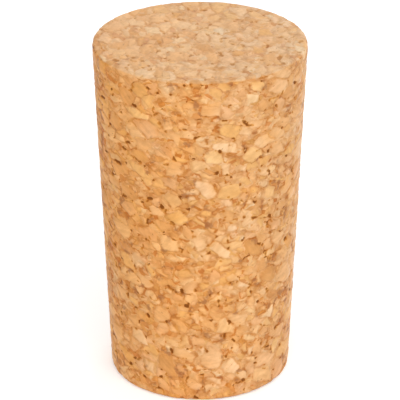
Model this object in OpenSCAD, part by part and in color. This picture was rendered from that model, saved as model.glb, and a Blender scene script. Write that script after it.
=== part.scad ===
// Tapered cork stopper: one piece of pressed cork granules, ground to a straight
// taper. It stands on its narrow end, with the origin at the middle of that end
// and +Z up, towards the wide end. Dimensions are in millimetres.

/* [Taper] */
// Diameter of the wide end, measured to the sharp corner
wide_end_d = 24; // [10:0.5:60]
// Diameter of the narrow end, measured to the sharp corner
narrow_end_d = 20.5; // [8:0.5:56]
// Height from the narrow end to the wide end
height = 40; // [12:0.5:90]

/* [Rims] */
// Radius of the rounded rim at the wide end
wide_rim_r = 0.4; // [0.1:0.05:2]
// Radius of the rounded rim at the narrow end
narrow_rim_r = 0.6; // [0.1:0.05:2]

/* [Finish] */
// Colour of the pressed cork
cork_colour = "#dda468";
// Straight facets in each rounded rim's section
rim_steps = 8; // [4:1:16]
// Smoothness of the round body
$fn = 128; // [48:16:256]

/* [Hidden] */
wide_end_r = wide_end_d / 2;
narrow_end_r = narrow_end_d / 2;
// Angle of the side from the vertical, positive where it widens upwards
taper_angle = atan((wide_end_r - narrow_end_r) / height);
// Centres of the rim arcs, each tangent to its end face and to the side
wide_rim_centre = [wide_end_r - wide_rim_r * (1 + sin(taper_angle)) / cos(taper_angle),
                   height - wide_rim_r];
narrow_rim_centre = [narrow_end_r - narrow_rim_r * (1 - sin(taper_angle)) / cos(taper_angle),
                     narrow_rim_r];

// Points along a rim's arc, from one angle to another above the horizontal
function rim_arc(centre, radius, start, end) =
    [for (i = [0:rim_steps])
        let (turn = start + (end - start) * i / rim_steps)
        centre + radius * [cos(turn), sin(turn)]];

// Half of the lengthwise section, turned about the axis
module stopper() {
    color(cork_colour)
        rotate_extrude()
            polygon(concat(
                [[0, 0]],
                rim_arc(narrow_rim_centre, narrow_rim_r, -90, -taper_angle),
                rim_arc(wide_rim_centre, wide_rim_r, -taper_angle, 90),
                [[0, height]]));
}

stopper();
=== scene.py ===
import math

import bmesh
import bpy
import numpy as np
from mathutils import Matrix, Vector


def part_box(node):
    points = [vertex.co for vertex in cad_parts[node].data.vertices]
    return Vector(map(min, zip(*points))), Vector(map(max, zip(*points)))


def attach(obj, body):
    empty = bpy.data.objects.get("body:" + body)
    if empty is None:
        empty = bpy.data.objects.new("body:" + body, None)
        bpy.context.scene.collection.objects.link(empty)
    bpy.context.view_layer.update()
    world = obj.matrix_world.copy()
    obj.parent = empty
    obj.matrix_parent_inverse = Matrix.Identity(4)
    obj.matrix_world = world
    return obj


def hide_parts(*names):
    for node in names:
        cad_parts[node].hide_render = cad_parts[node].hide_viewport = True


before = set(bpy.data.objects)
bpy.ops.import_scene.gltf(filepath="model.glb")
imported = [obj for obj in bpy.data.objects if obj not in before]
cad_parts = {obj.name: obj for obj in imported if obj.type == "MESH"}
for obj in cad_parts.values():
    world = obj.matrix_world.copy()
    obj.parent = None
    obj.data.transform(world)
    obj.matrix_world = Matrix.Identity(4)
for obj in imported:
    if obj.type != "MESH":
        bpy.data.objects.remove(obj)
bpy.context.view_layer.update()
lowCorner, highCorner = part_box("stopper")
stopperHeight = highCorner.z - lowCorner.z
millimetre = 0.001
tiny = 1e-6


def addNode(tree, kind, inputs=None, **settings):
    node = tree.nodes.new(kind)
    for name, value in settings.items():
        setattr(node, name, value)
    for name, value in (inputs or {}).items():
        feed(tree, node.inputs[name], value)
    return node


# A socket is linked to another one, or takes a plain value
def feed(tree, socket, value):
    if isinstance(value, bpy.types.NodeSocket):
        tree.links.new(value, socket)
    else:
        socket.default_value = value


def calculate(tree, operation, first, second=0.0):
    return addNode(tree, "ShaderNodeMath", {0: first, 1: second}, operation=operation).outputs[0]


def add(tree, total, *others):
    for other in others:
        total = calculate(tree, "ADD", total, other)
    return total


def multiply(tree, first, second):
    return calculate(tree, "MULTIPLY", first, second)


def calculateVector(tree, operation, first, second=(0, 0, 0)):
    values = {0: first, "Scale" if operation == "SCALE" else 1: second}
    node = addNode(tree, "ShaderNodeVectorMath", values, operation=operation)
    return node.outputs["Value" if operation in ("DOT_PRODUCT", "LENGTH") else "Vector"]


def separate(tree, vector):
    return addNode(tree, "ShaderNodeSeparateXYZ", {0: vector}).outputs


# A random colour becomes a vector that may point any way
def centred(tree, colour):
    return calculateVector(tree, "SUBTRACT", colour, (0.5, 0.5, 0.5))


# Turns the range low..high of a value into the range start..end
def ramp(tree, value, low, high, start=0.0, end=1.0, kind="SMOOTHSTEP"):
    values = {"Value": value, "From Min": low, "From Max": high, "To Min": start, "To Max": end}
    return addNode(tree, "ShaderNodeMapRange", values, interpolation_type=kind).outputs[0]


# Noise lies mostly between 0.3 and 0.7
def spread(tree, value, start=0.0, end=1.0):
    return ramp(tree, value, 0.3, 0.7, start, end)


def mixValue(tree, factor, first, second):
    return addNode(tree, "ShaderNodeMix", {0: factor, 2: first, 3: second}, data_type="FLOAT").outputs[0]


def mixColour(tree, factor, first, second, blend="MIX"):
    values = {0: factor, 6: first, 7: second}
    return addNode(tree, "ShaderNodeMix", values, data_type="RGBA", blend_type=blend).outputs[2]


def noise(tree, place, size, detail=1.0, roughness=0.5, output="Fac"):
    values = {"Vector": place, "Scale": 1 / size, "Detail": detail, "Roughness": roughness}
    return addNode(tree, "ShaderNodeTexNoise", values).outputs[output]


def newMaterial(name):
    material = bpy.data.materials.new(name)
    material.use_nodes = True
    material.node_tree.nodes.clear()
    return material, material.node_tree


cameraView = {
    "elevation": math.radians(25.45),
    "distance": 0.3358,
    "lens": 266.1,
    "sensorWidth": 36,
    "aimHeight": 0.02035,
    "aimDepth": 0.00017,
    "clipStart": 0.01,
    "clipEnd": 10,
}


def placeCamera():
    bpy.ops.object.select_all(action="DESELECT")
    elevation = cameraView["elevation"]
    aim = Vector((0, cameraView["aimDepth"], cameraView["aimHeight"]))
    back = Vector((0, -math.cos(elevation), math.sin(elevation)))
    bpy.ops.object.camera_add(location=aim + back * cameraView["distance"])
    camera = bpy.context.object
    camera.rotation_euler = (math.pi / 2 - elevation, 0, 0)
    camera.data.sensor_width = cameraView["sensorWidth"]
    camera.data.lens = cameraView["lens"]
    camera.data.clip_start = cameraView["clipStart"]
    camera.data.clip_end = cameraView["clipEnd"]
    bpy.context.scene.camera = camera


placeCamera()
print("camera placed")


# Chips in millimetres, largest first; each layer lies over the ones after it. A turn is in degrees.
# The share says how many of a layer's cells hold a chip, and the lowest layer fills all of its cells.
# The lie turns metres into millimetres, and makes the chips longer from front to back.
# A noise is its size, and then its detail and its roughness where they are given.
chips = {
    "lie": (1 / millimetre, 0.70 / millimetre, 1 / millimetre),
    "shift": (13.0, 7.0, 4.0),
    "layerShift": (17.0, 31.0, 7.0),
    "flattenFoot": 1.05,
    "flattenRise": 0.005,  # for each millimetre up
    "bend": {"noise": (1.2, 2.0), "amount": 0.8},
    "crinkle": {"noise": (0.45, 2.0), "amount": 0.19},
    "trim": 0.09,
    "fade": 0.22,
    "slopeReach": 0.6,
    "farAway": 10.0,  # stands for no outline near by
    "layers": (
        {"size": 2.2, "stretch": (1.2, 0.9, 1.0), "turn": (20, 40, 10), "share": 0.30},
        {"size": 1.75, "stretch": (0.85, 1.2, 1.0), "turn": (-35, 15, 70), "share": 0.44},
        {"size": 1.4, "stretch": (1.0, 0.85, 1.2), "turn": (30, -20, 25), "share": 0.50},
        {"size": 1.05, "stretch": (1.2, 1.0, 0.85), "turn": (10, 30, -50), "share": 0.55},
        {"size": 0.75, "stretch": (0.9, 1.1, 1.0), "turn": (15, 35, 20)},
    ),
    "splitAlong": 1.2,  # smaller chips have no splits of their own
    "split": {"noise": (0.9,), "from": 0.60, "to": 0.77, "width": 0.44, "softness": 0.44},
    "wedge": {"noise": (0.9,), "from": 0.615, "to": 0.75, "width": 0.76, "softness": 0.58},
    "wedgeShift": (50.0, 20.0, 70.0),
}


# One layer: each chip's random colour, the distance in from its outline, its slope and its chance
def chipLayer(tree, place, number):
    layer = chips["layers"][number]
    turn = [math.radians(angle) for angle in layer["turn"]]
    place = addNode(tree, "ShaderNodeVectorRotate", {"Vector": place, "Rotation": turn},
                    rotation_type="EULER_XYZ").outputs[0]
    place = calculateVector(tree, "MULTIPLY", place, layer["stretch"])
    place = calculateVector(tree, "ADD", place, [step * number for step in chips["layerShift"]])
    values = {"Vector": place, "Scale": 1 / layer["size"]}
    cell = addNode(tree, "ShaderNodeTexVoronoi", values)
    wall = addNode(tree, "ShaderNodeTexVoronoi", values, feature="DISTANCE_TO_EDGE")
    colour = cell.outputs["Color"]
    _, worn, chance = separate(tree, colour)
    away = calculateVector(tree, "SUBTRACT", place, cell.outputs["Position"])
    direction = calculateVector(tree, "NORMALIZE", centred(tree, colour))
    slope = calculate(tree, "DIVIDE", calculateVector(tree, "DOT_PRODUCT", away, direction), layer["size"])
    edge = multiply(tree, wall.outputs["Distance"], layer["size"])
    edge = calculate(tree, "SUBTRACT", edge, multiply(tree, worn, chips["trim"]))
    return colour, edge, slope, chance


# A seam opens where the noise is high, up to its full width
def opening(tree, place, distance, gap):
    width = ramp(tree, noise(tree, place, *gap["noise"]), gap["from"], gap["to"], 0.0, gap["width"])
    return ramp(tree, calculate(tree, "SUBTRACT", width, distance), 0.0, gap["softness"], kind="LINEAR")


def makeChipGroup(treeKind):
    tree = bpy.data.node_groups.new("chips", treeKind)
    tree.interface.new_socket("Place", in_out="INPUT", socket_type="NodeSocketVector")
    for name in ("Colour", "Grain"):
        tree.interface.new_socket(name, in_out="OUTPUT", socket_type="NodeSocketColor")
    for name in ("Edge", "Slope", "Gap"):
        tree.interface.new_socket(name, in_out="OUTPUT", socket_type="NodeSocketFloat")
    start = addNode(tree, "NodeGroupInput").outputs[0]
    # The press flattens the chips, and more so towards the wide end
    level = separate(tree, start)[2]
    squeeze = add(tree, multiply(tree, level, chips["flattenRise"]), chips["flattenFoot"])
    squeeze = addNode(tree, "ShaderNodeCombineXYZ", {0: 1.0, 1: 1.0, 2: squeeze}).outputs[0]
    place = calculateVector(tree, "ADD", start, chips["shift"])
    bent = calculateVector(tree, "MULTIPLY", place, squeeze)
    for push in (chips["bend"], chips["crinkle"]):
        way = centred(tree, noise(tree, place, *push["noise"], output="Color"))
        bent = calculateVector(tree, "ADD", bent, calculateVector(tree, "SCALE", way, push["amount"]))

    # From the lowest layer up, every chip covers what lies under it
    lowest = len(chips["layers"]) - 1
    colour, edge, slope, _ = chipLayer(tree, bent, lowest)
    grain, outerEdge, lowestEdge = colour, chips["farAway"], edge
    for number in reversed(range(lowest)):
        layer = chips["layers"][number]
        upperColour, upperEdge, upperSlope, chance = chipLayer(tree, bent, number)
        held = calculate(tree, "LESS_THAN", chance, layer["share"])
        inside = multiply(tree, held, calculate(tree, "GREATER_THAN", upperEdge, 0.0))
        outline = mixValue(tree, held, chips["farAway"], calculate(tree, "ABSOLUTE", upperEdge))
        edge = mixValue(tree, inside, calculate(tree, "MINIMUM", edge, outline), upperEdge)
        if layer["size"] > chips["splitAlong"]:
            outerEdge = mixValue(tree, inside, calculate(tree, "MINIMUM", outerEdge, outline), upperEdge)
        cover = multiply(tree, held, ramp(tree, upperEdge, 0.0, chips["fade"]))
        colour = mixColour(tree, cover, colour, upperColour)
        slope = mixValue(tree, cover, slope, upperSlope)
        grain = mixColour(tree, inside, grain, upperColour)

    # Seams open here and there into thin splits, and into small wedges where chips meet
    split = opening(tree, place, outerEdge, chips["split"])
    elsewhere = calculateVector(tree, "ADD", place, chips["wedgeShift"])
    wedge = opening(tree, elsewhere, add(tree, outerEdge, lowestEdge), chips["wedge"])
    gap = calculate(tree, "MAXIMUM", split, wedge)
    addNode(tree, "NodeGroupOutput",
            {"Colour": colour, "Grain": grain, "Edge": edge, "Slope": slope, "Gap": gap})
    return tree


# The shape and the finish both read this pattern, so that relief and colour line up
def chipField(tree, position):
    place = calculateVector(tree, "MULTIPLY", position, chips["lie"])
    groupKind = tree.bl_idname.replace("Tree", "Group")
    field = addNode(tree, groupKind, {"Place": place}, node_tree=makeChipGroup(tree.bl_idname))
    return place, field.outputs


# Depths and widths of the relief are in millimetres
stopperShape = {
    "narrowRadius": 20.5 * millimetre / 2,
    "wideRadius": 24.0 * millimetre / 2,
    "narrowRim": 0.6 * millimetre,
    "wideRim": 0.4 * millimetre,
    "rimSteps": 4,
    "around": 376,
    "rings": 99,
    "longSide": 5 * millimetre,  # only edges longer than this are cut into rings
    "border": 0.2 * millimetre,
    "gapDepth": 0.16,
    "creaseDepth": 0.05,
    "creaseWidth": 0.3,
    "levelDepth": 0.02,
    "tiltDepth": 0.04,
    "sandedFrom": 0.5,  # 0 faces sideways, and 1 faces up or down
    "sandedTo": 0.95,
    "sandedDepth": 0.6,
}


def selectWhere(mesh, test):
    bpy.ops.mesh.select_mode(type="EDGE")
    bpy.ops.mesh.select_all(action="DESELECT")
    form = bmesh.from_edit_mesh(mesh)
    for edge in form.edges:
        if test(edge):
            edge.select = True
    form.select_flush_mode()
    bmesh.update_edit_mesh(mesh)


# The flat of an end is the one face there that has many corners
def selectEnd(mesh, level):
    bpy.ops.mesh.select_mode(type="FACE")
    bpy.ops.mesh.select_all(action="DESELECT")
    form = bmesh.from_edit_mesh(mesh)
    for face in form.faces:
        if len(face.verts) > 4 and abs(face.calc_center_median().z - level) < tiny:
            face.select = True
    bmesh.update_edit_mesh(mesh)


def makeBody():
    shape = stopperShape
    bpy.ops.object.select_all(action="DESELECT")
    bpy.ops.mesh.primitive_cone_add(
        vertices=shape["around"], radius1=shape["narrowRadius"], radius2=shape["wideRadius"],
        depth=stopperHeight, end_fill_type="NGON", location=(0, 0, stopperHeight / 2))
    body = bpy.context.object
    body.name = "corkStopper"
    bpy.ops.object.transform_apply(location=True, rotation=True, scale=True)
    bpy.ops.object.mode_set(mode="EDIT")
    for level, radius in ((0.0, shape["narrowRim"]), (stopperHeight, shape["wideRim"])):
        selectWhere(body.data, lambda edge: all(abs(v.co.z - level) < tiny for v in edge.verts))
        bpy.ops.mesh.bevel(offset_type="OFFSET", offset=radius, segments=shape["rimSteps"],
                           profile=0.5, affect="EDGES")
    # The long side is halved, and then each half is cut into rings
    for cuts in (1, shape["rings"]):
        selectWhere(body.data, lambda edge: abs(edge.verts[0].co.z - edge.verts[1].co.z) > shape["longSide"])
        bpy.ops.mesh.subdivide(number_cuts=cuts)
    # Each end gets a narrow border and an even grid
    for level in (0.0, stopperHeight):
        selectEnd(body.data, level)
        bpy.ops.mesh.inset(thickness=shape["border"])
        bpy.ops.mesh.delete(type="ONLY_FACE")
        selectWhere(body.data, lambda edge: edge.is_boundary)
        bpy.ops.mesh.fill_grid(span=shape["around"] // 4)
    bpy.ops.mesh.select_all(action="SELECT")
    bpy.ops.mesh.remove_doubles(threshold=tiny)
    bpy.ops.mesh.normals_make_consistent(inside=False)
    bpy.ops.object.mode_set(mode="OBJECT")
    return body


# Places on the map, which is 1 wide and 1 high
mapLayout = {
    "wideGirth": 0.98,  # sets the scale of the map
    "sideLeft": 0.005,
    "sideWidth": 0.985,
    "sideFoot": 0.44,
    "wideEnd": (0.18, 0.19),  # the middle of its disc
    "narrowEnd": (0.54, 0.19),
    "rimShare": 0.02,  # of the height, at each end
}


# The side is unrolled across the whole map, and the two ends lie below it as discs
def layOutMap(body):
    mesh, shape = body.data, stopperShape
    scale = mapLayout["wideGirth"] / (2 * math.pi * shape["wideRadius"])
    rimLow = stopperHeight * mapLayout["rimShare"]
    rimHigh = stopperHeight * (1 - mapLayout["rimShare"])
    points = np.empty(len(mesh.vertices) * 3)
    mesh.vertices.foreach_get("co", points)
    points = points.reshape(-1, 3)
    radius = np.hypot(points[:, 0], points[:, 1])
    turn = np.arctan2(points[:, 1], points[:, 0]) / (2 * math.pi) + 0.5
    layer = mesh.uv_layers.new(name="OFBake") if not mesh.uv_layers else mesh.uv_layers[0]
    layer.name = "OFBake"
    places = np.empty((len(mesh.loops), 2))
    for face in mesh.polygons:
        corners = list(face.vertices)
        levels = points[corners, 2]
        onNarrowEnd = np.all(levels < tiny)
        onWideEnd = np.all(levels > stopperHeight - tiny)
        if onNarrowEnd or onWideEnd:
            middleAcross, middleUp = mapLayout["wideEnd" if onWideEnd else "narrowEnd"]
            way = 1 if onWideEnd else -1  # the narrow end is seen from below
            across = middleAcross + way * points[corners, 0] * scale
            up = middleUp + points[corners, 1] * scale
        else:
            # A face that crosses the seam stays in one piece at the far side of the map
            across = turn[corners]
            across = np.where(across.max() - across > 0.5, across + 1, across)
            across = mapLayout["sideLeft"] + across * mapLayout["sideWidth"]
            # Rims unroll outward from the side, so no face of theirs loses its width
            wideRim = np.clip(shape["wideRadius"] - radius[corners], 0, 1) * (levels > rimHigh)
            narrowRim = np.clip(shape["narrowRadius"] - radius[corners], 0, 1) * (levels < rimLow)
            up = mapLayout["sideFoot"] + (levels + wideRim - narrowRim) * scale
        places[face.loop_start:face.loop_start + face.loop_total, 0] = across
        places[face.loop_start:face.loop_start + face.loop_total, 1] = up
    layer.data.foreach_set("uv", places.ravel())
    print("map spans", places.min(axis=0).round(3), places.max(axis=0).round(3))


# The relief only ever sinks below the ground surface, so the sizes stay true
def addRelief(body):
    shape, reach = stopperShape, chips["slopeReach"]
    tree = bpy.data.node_groups.new("relief", "GeometryNodeTree")
    for way in ("INPUT", "OUTPUT"):
        tree.interface.new_socket("Geometry", in_out=way, socket_type="NodeSocketGeometry")
    start = addNode(tree, "NodeGroupInput").outputs[0]
    position = addNode(tree, "GeometryNodeInputPosition").outputs[0]
    _, field = chipField(tree, position)
    crease = ramp(tree, field["Edge"], 0.0, shape["creaseWidth"], shape["creaseDepth"], 0.0)
    level = multiply(tree, separate(tree, field["Colour"])[1], shape["levelDepth"])
    tilt = ramp(tree, field["Slope"], -reach, reach, 0.0, shape["tiltDepth"])
    pit = multiply(tree, field["Gap"], shape["gapDepth"])
    depth = calculate(tree, "MAXIMUM", add(tree, crease, level, tilt), pit)
    # The ends are sanded flatter than the side
    normal = addNode(tree, "GeometryNodeInputNormal").outputs[0]
    upright = calculate(tree, "ABSOLUTE", separate(tree, normal)[2])
    sanded = ramp(tree, upright, shape["sandedFrom"], shape["sandedTo"], 1.0, shape["sandedDepth"])
    depth = multiply(tree, depth, sanded)
    push = calculateVector(tree, "SCALE", normal, multiply(tree, depth, -millimetre))
    # The finish reads where each point was before it sank
    kept = addNode(tree, "GeometryNodeStoreNamedAttribute",
                   {"Geometry": start, "Name": "groundPlace", "Value": position},
                   data_type="FLOAT_VECTOR", domain="POINT").outputs[0]
    moved = addNode(tree, "GeometryNodeSetPosition", {"Geometry": kept, "Offset": push}).outputs[0]
    addNode(tree, "NodeGroupOutput", {"Geometry": moved})
    bpy.ops.object.select_all(action="DESELECT")
    body.select_set(True)
    bpy.context.view_layer.objects.active = body
    modifier = body.modifiers.new("relief", "NODES")
    modifier.node_group = tree
    bpy.ops.object.modifier_apply(modifier=modifier.name)
    bpy.ops.object.shade_smooth()


# Sizes are in millimetres. A shade goes from its lowest to its highest.
# A ramp is low, high, start and end, and where it has no start and end it runs from 0 to 1.
# A pair of strengths is for the side and for the two ends.
corkFinish = {
    "roughness": 0.75,
    "gloss": 0.15,
    "sheen": 0.35,
    "sheenRoughness": 0.25,
    "endBlend": (0.05, 0.25),  # in from each end
    "dustAndPaintedSheenStrength": 0.30,
    "crumbNoise": (0.4, 3.0, 0.7),
    "crumbShade": (-0.11, 0.05),
    "layerNoise": (1.6, 2.0),
    "layerSqueeze": 4.0,
    "layerShade": (0.972, 1.087),
    "speckleNoise": (0.16, 3.0, 0.65),
    "speckleShade": (-0.022, 0.022),
    "cloudNoise": (0.9, 2.0),
    "cloudShade": (-0.05, 0.05),
    # Painted shade: each chip lighter on one side than the other, and darker towards its outline
    "slopePaintedShade": (-0.07, 0.06),
    "edgePaintedShadeRamp": (0.0, 0.45, -0.035, 0.03),
    "shadePowers": (1.4, 2.0),
    "palette": (
        (0.00, (0.61, 0.240, 0.055)),
        (0.04, (0.73, 0.320, 0.088)),
        (0.14, (0.81, 0.380, 0.121)),
        (0.42, (0.87, 0.444, 0.166)),
        (0.72, (0.89, 0.481, 0.195)),
        (0.90, (0.90, 0.503, 0.216)),
        (1.00, (0.905, 0.562, 0.265)),
    ),
    "pink": (0.84, 0.40, 0.170, 1),
    "pinkRamp": (0.65, 1.0, 0.0, 0.35),
    "golden": (0.89, 0.45, 0.125, 1),
    "goldenRamp": (0.0, 0.35, 0.6, 0.0),
    "rust": (0.83, 0.61, 0.36, 1),
    "smallRustRamp": (0.82, 0.85, 0.0, 0.9),  # only the smallest chips have so high a chance
    "middleRustAt": 0.46,  # the two largest sizes stop short of this chance
    "middleRustRamp": (0.020, 0.026, 0.80, 0.0),
    "patchNoise": (4.5, 2.0),
    # Painted light: the cork pales from -x to +x; the two colours below serve both that and the patches
    "paintedLightAcross": 0.016,  # for each millimetre across
    "orangeAndPaintedShade": (1.01, 0.95, 0.84, 1),
    "paleTanAndPaintedLight": (0.985, 1.06, 1.24, 1),
    "pore": (0.52, 0.36, 0.24, 1),
    "poreSpacing": 1.0,
    "poreSqueeze": 2.0,
    "poreRamp": (0.08, 0.20, 1.0, 0.0),
    "poreChanceRamp": (0.55, 1.0, 0.0, 0.7),
    # The ends' colours: partly cork dust, partly painted sheen
    "warmDustAndPaintedSheen": (0.90, 0.62, 0.345, 1),
    "paleDustAndPaintedSheen": (0.90, 0.77, 0.590, 1),
    # The seam colour is partly the darker joint between chips and partly painted shade in its crease
    "seamAndPaintedShade": (0.70, 0.50, 0.26, 1),
    "seamNoise": (1.5, 2.0),
    "seamRamp": (0.0, 0.25, 1.0, 0.0),
    "seamNoiseRamp": (0.38, 0.64, 0.05, 0.70),
    "seamStrength": (1.0, 0.5),
    "bark": (0.38, 0.150, 0.060, 1),
    "barkNoise": (1.5, 3.0, 0.6),
    "barkNoiseRamp": (0.585, 0.675),
    "barkRamp": (0.12, 0.45, 1.0, 0.2),
    "barkStrength": (0.63, 0.22),
    # Painted shade of the open gaps, from their edge to their core
    "paintedShadeRoundGap": (0.93, 0.76, 0.46, 1),
    "gapEdgeRamp": (0.0, 0.40),
    "gapEdgeStrength": (1.0, 0.6),
    "gap": (0.38, 0.122, 0.012, 1),
    "gapRamp": (0.12, 1.0),
    "gapStrength": (0.76, 0.42),
    "paintedShadeInGapCore": (0.16, 0.035, 0.002, 1),
    "gapCoreRamp": (0.5, 1.0),
    "gapCoreStrength": (0.65, 0.15),
    "bumpStrength": 0.6,
    "bumpEdgeRamp": (0.0, 0.32, 0.0, 0.07),
    "bumpSpeckle": 0.015,
    "bumpLayers": 0.03,
    "bumpHeightStrength": (1.0, 0.5),
}


def fillRamp(node, stops):
    steps = node.color_ramp.elements
    while len(steps) < len(stops):
        steps.new(0.5)
    for step, (position, colour) in zip(steps, stops):
        step.position = position
        step.color = (*colour, 1)


# 1 on the two ends and 0 on the side
def endMask(tree, level):
    near, far = corkFinish["endBlend"]
    top = highCorner.z / millimetre
    wideEnd = ramp(tree, level, top - far, top - near)
    narrowEnd = ramp(tree, level, near, far, 1.0, 0.0)
    return calculate(tree, "MAXIMUM", wideEnd, narrowEnd)


def strengthOf(tree, mask, end, name):
    return multiply(tree, mask, ramp(tree, end, 0.0, 1.0, *corkFinish[name]))


# Squeezes a pattern along each chip's own direction
def squeezeAlong(tree, place, direction, amount):
    along = calculateVector(tree, "DOT_PRODUCT", place, direction)
    push = calculateVector(tree, "SCALE", direction, multiply(tree, along, amount))
    return calculateVector(tree, "ADD", place, push)


# Every chip has a tone of its own; some are pink or golden, and a few are rusty
def chipColour(tree, tone, hue, chance):
    palette = addNode(tree, "ShaderNodeValToRGB", {0: tone})
    fillRamp(palette, corkFinish["palette"])
    colour = palette.outputs[0]
    colour = mixColour(tree, ramp(tree, hue, *corkFinish["pinkRamp"]), colour, corkFinish["pink"])
    colour = mixColour(tree, ramp(tree, hue, *corkFinish["goldenRamp"]), colour, corkFinish["golden"])
    smallRust = ramp(tree, chance, *corkFinish["smallRustRamp"])
    away = calculate(tree, "ABSOLUTE", calculate(tree, "SUBTRACT", chance, corkFinish["middleRustAt"]))
    middleRust = ramp(tree, away, *corkFinish["middleRustRamp"])
    rust = calculate(tree, "MAXIMUM", smallRust, middleRust)
    return mixColour(tree, rust, colour, corkFinish["rust"], "MULTIPLY")


# Darker cork, and painted shade, are also deeper in colour
def applyShade(tree, colour, shade):
    green, blue = (calculate(tree, "POWER", shade, power) for power in corkFinish["shadePowers"])
    tint = addNode(tree, "ShaderNodeCombineXYZ", {0: shade, 1: green, 2: blue}).outputs[0]
    return mixColour(tree, 1.0, colour, tint, "MULTIPLY")


# Pores are short thin lenses across the growth layers
def addPores(tree, colour, place, direction):
    crossed = squeezeAlong(tree, place, direction, corkFinish["poreSqueeze"])
    values = {"Vector": crossed, "Scale": 1 / corkFinish["poreSpacing"]}
    cell = addNode(tree, "ShaderNodeTexVoronoi", values)
    chance = separate(tree, cell.outputs["Color"])[0]
    pore = multiply(tree, ramp(tree, cell.outputs["Distance"], *corkFinish["poreRamp"]),
                    ramp(tree, chance, *corkFinish["poreChanceRamp"]))
    return mixColour(tree, pore, colour, corkFinish["pore"], "MULTIPLY")


# Seams come and go along the outlines of the chips, as a darker joint with painted shade in its crease, and
# flecks of bark lie beside some of them
def addSeamsAndPaintedShade(tree, colour, place, edge, end):
    seamNoise = noise(tree, place, *corkFinish["seamNoise"])
    seamAndPaintedShade = multiply(tree, ramp(tree, edge, *corkFinish["seamRamp"]),
                    ramp(tree, seamNoise, *corkFinish["seamNoiseRamp"]))
    seamAndPaintedShade = strengthOf(tree, seamAndPaintedShade, end, "seamStrength")
    colour = mixColour(tree, seamAndPaintedShade, colour, corkFinish["seamAndPaintedShade"], "MULTIPLY")
    barkNoise = noise(tree, place, *corkFinish["barkNoise"])
    bark = multiply(tree, ramp(tree, barkNoise, *corkFinish["barkNoiseRamp"]),
                    ramp(tree, edge, *corkFinish["barkRamp"]))
    return mixColour(tree, strengthOf(tree, bark, end, "barkStrength"), colour, corkFinish["bark"])


# Painted shade of a gap: deeper round its edge, darker over the gap and darkest in its core, as in a deep
# void
def addPaintedGapShade(tree, colour, gap, end):
    paintedShadeRoundGap = ramp(tree, gap, *corkFinish["gapEdgeRamp"])
    paintedShadeRoundGap = strengthOf(tree, paintedShadeRoundGap, end, "gapEdgeStrength")
    colour = mixColour(tree, paintedShadeRoundGap, colour, corkFinish["paintedShadeRoundGap"], "MULTIPLY")
    shallow = ramp(tree, gap, *corkFinish["gapRamp"], kind="LINEAR")
    colour = mixColour(tree, strengthOf(tree, shallow, end, "gapStrength"), colour, corkFinish["gap"])
    core = strengthOf(tree, ramp(tree, gap, *corkFinish["gapCoreRamp"]), end, "gapCoreStrength")
    return mixColour(tree, core, colour, corkFinish["paintedShadeInGapCore"])


def makeCork():
    finish, reach = corkFinish, chips["slopeReach"]
    material, tree = newMaterial("pressedCork")
    ground = addNode(tree, "ShaderNodeAttribute", attribute_name="groundPlace").outputs["Vector"]
    place, field = chipField(tree, ground)
    edge = field["Edge"]
    tone, hue, chance = separate(tree, field["Colour"])
    across, _, level = separate(tree, place)
    end = endMask(tree, level)

    # Growth layers inside each chip lie in the chip's own direction
    direction = calculateVector(tree, "NORMALIZE", centred(tree, field["Grain"]))
    layered = squeezeAlong(tree, place, direction, finish["layerSqueeze"])
    layers = noise(tree, layered, *finish["layerNoise"])
    speckle = noise(tree, place, *finish["speckleNoise"])
    cloud = noise(tree, place, *finish["cloudNoise"])
    crumbs = spread(tree, noise(tree, place, *finish["crumbNoise"]), *finish["crumbShade"])
    # The slope and edge terms are painted shade; the other terms are the cork's own tone
    shade = add(tree,
                spread(tree, layers, *finish["layerShade"]),
                spread(tree, speckle, *finish["speckleShade"]),
                spread(tree, cloud, *finish["cloudShade"]),
                ramp(tree, field["Slope"], -reach, reach, *finish["slopePaintedShade"]),
                ramp(tree, edge, *finish["edgePaintedShadeRamp"]),
                multiply(tree, end, crumbs))
    colour = applyShade(tree, chipColour(tree, tone, hue, chance), shade)

    # Broad patches lean to orange or to a paler tan, and painted light makes the cork paler towards +x and
    # deeper in colour towards -x
    patchesAndPaintedLight = add(tree, noise(tree, place, *finish["patchNoise"]),
                  multiply(tree, across, finish["paintedLightAcross"]))
    blushAndPaintedLight = mixColour(tree, spread(tree, patchesAndPaintedLight), finish["orangeAndPaintedShade"], finish["paleTanAndPaintedLight"])
    colour = mixColour(tree, 1.0, colour, blushAndPaintedLight, "MULTIPLY")
    colour = addPores(tree, colour, place, direction)

    # The ends are paler, partly from dust on the sawn ends and partly from painted sheen
    dustAndPaintedSheen = mixColour(tree, tone, finish["warmDustAndPaintedSheen"], finish["paleDustAndPaintedSheen"])
    colour = mixColour(tree, multiply(tree, end, finish["dustAndPaintedSheenStrength"]), colour, dustAndPaintedSheen)
    colour = addSeamsAndPaintedShade(tree, colour, place, edge, end)
    colour = addPaintedGapShade(tree, colour, field["Gap"], end)

    relief = add(tree, ramp(tree, edge, *finish["bumpEdgeRamp"]),
                 multiply(tree, speckle, finish["bumpSpeckle"]),
                 multiply(tree, layers, finish["bumpLayers"]))
    relief = strengthOf(tree, relief, end, "bumpHeightStrength")
    bump = addNode(tree, "ShaderNodeBump",
                   {"Strength": finish["bumpStrength"], "Distance": millimetre, "Height": relief})
    surface = addNode(tree, "ShaderNodeBsdfPrincipled",
                      {"Base Color": colour, "Normal": bump.outputs[0],
                       "Roughness": finish["roughness"], "Specular IOR Level": finish["gloss"],
                       "Sheen Weight": finish["sheen"], "Sheen Roughness": finish["sheenRoughness"]})
    addNode(tree, "ShaderNodeOutputMaterial", {"Surface": surface.outputs[0]})
    return material


corkStopper = makeBody()
layOutMap(corkStopper)
addRelief(corkStopper)
corkStopper.data.materials.clear()
corkStopper.data.materials.append(makeCork())
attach(corkStopper, "root")
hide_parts("stopper")
print("stopper made:", len(corkStopper.data.polygons), "faces")


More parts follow.
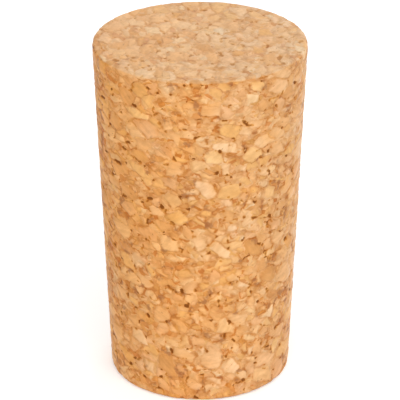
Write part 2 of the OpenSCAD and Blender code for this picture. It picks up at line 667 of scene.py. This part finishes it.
studio = {
    "floorSize": 3.0,
    "floorColour": (0.90, 0.90, 0.90, 1),
    "floorLift": 0.36,
    "floorWhite": (0.06, 0.35),  # how far out the floor begins to whiten, and is all white
    "surround": 0.51,
    "lampAim": (0, 0, 0.02),
    "keyPower": 9.0,
    "keySize": 1.4,
    "keyPlace": (0.15, -0.84, 0.76),
    "rimPower": 2.6,
    "rimSize": 0.5,
    "rimPlace": (0.36, 0.66, 0.20),
}


# 1 for a ray of any of these kinds, and 0 for every other ray
def seenBy(tree, *rays):
    path = addNode(tree, "ShaderNodeLightPath").outputs
    seen = path[rays[0]]
    for ray in rays[1:]:
        seen = calculate(tree, "MAXIMUM", seen, path[ray])
    return seen


def makeFloor():
    bpy.ops.object.select_all(action="DESELECT")
    bpy.ops.mesh.primitive_plane_add(size=studio["floorSize"], location=(0, 0, 0))
    floor = bpy.context.object
    floor.name = "floor"
    material, tree = newMaterial("floorWhite")
    paint = addNode(tree, "ShaderNodeBsdfDiffuse", {"Color": studio["floorColour"]})
    seen = seenBy(tree, "Is Camera Ray", "Is Glossy Ray")
    # Further out the floor turns white, so that it meets the surround with no line
    away = calculateVector(tree, "LENGTH", addNode(tree, "ShaderNodeTexCoord").outputs["Object"])
    strength = ramp(tree, away, *studio["floorWhite"], studio["floorLift"], 1.0)
    lift = addNode(tree, "ShaderNodeEmission", {"Strength": multiply(tree, seen, strength)})
    both = addNode(tree, "ShaderNodeAddShader", {0: paint.outputs[0], 1: lift.outputs[0]})
    addNode(tree, "ShaderNodeOutputMaterial", {"Surface": both.outputs[0]})
    floor.data.materials.append(material)


def makeWorld():
    world = bpy.data.worlds.new("studio")
    bpy.context.scene.world = world
    world.use_nodes = True
    tree = world.node_tree
    tree.nodes.clear()
    seen = seenBy(tree, "Is Camera Ray", "Is Glossy Ray", "Is Transmission Ray")
    strength = mixValue(tree, seen, studio["surround"], 1.0)
    light = addNode(tree, "ShaderNodeBackground", {"Color": (1, 1, 1, 1), "Strength": strength})
    addNode(tree, "ShaderNodeOutputWorld", {"Surface": light.outputs[0]})


def addLamp(name, place, size, power):
    bpy.ops.object.light_add(type="AREA", location=place)
    lamp = bpy.context.object
    lamp.name = name
    lamp.data.size = size
    lamp.data.energy = power
    lamp.rotation_euler = (Vector(studio["lampAim"]) - Vector(place)).to_track_quat("-Z", "Y").to_euler()


makeFloor()
makeWorld()
addLamp("keyLamp", studio["keyPlace"], studio["keySize"], studio["keyPower"])
addLamp("rimLamp", studio["rimPlace"], studio["rimSize"], studio["rimPower"])
bpy.context.scene.view_settings.view_transform = "Standard"
print("studio lit")
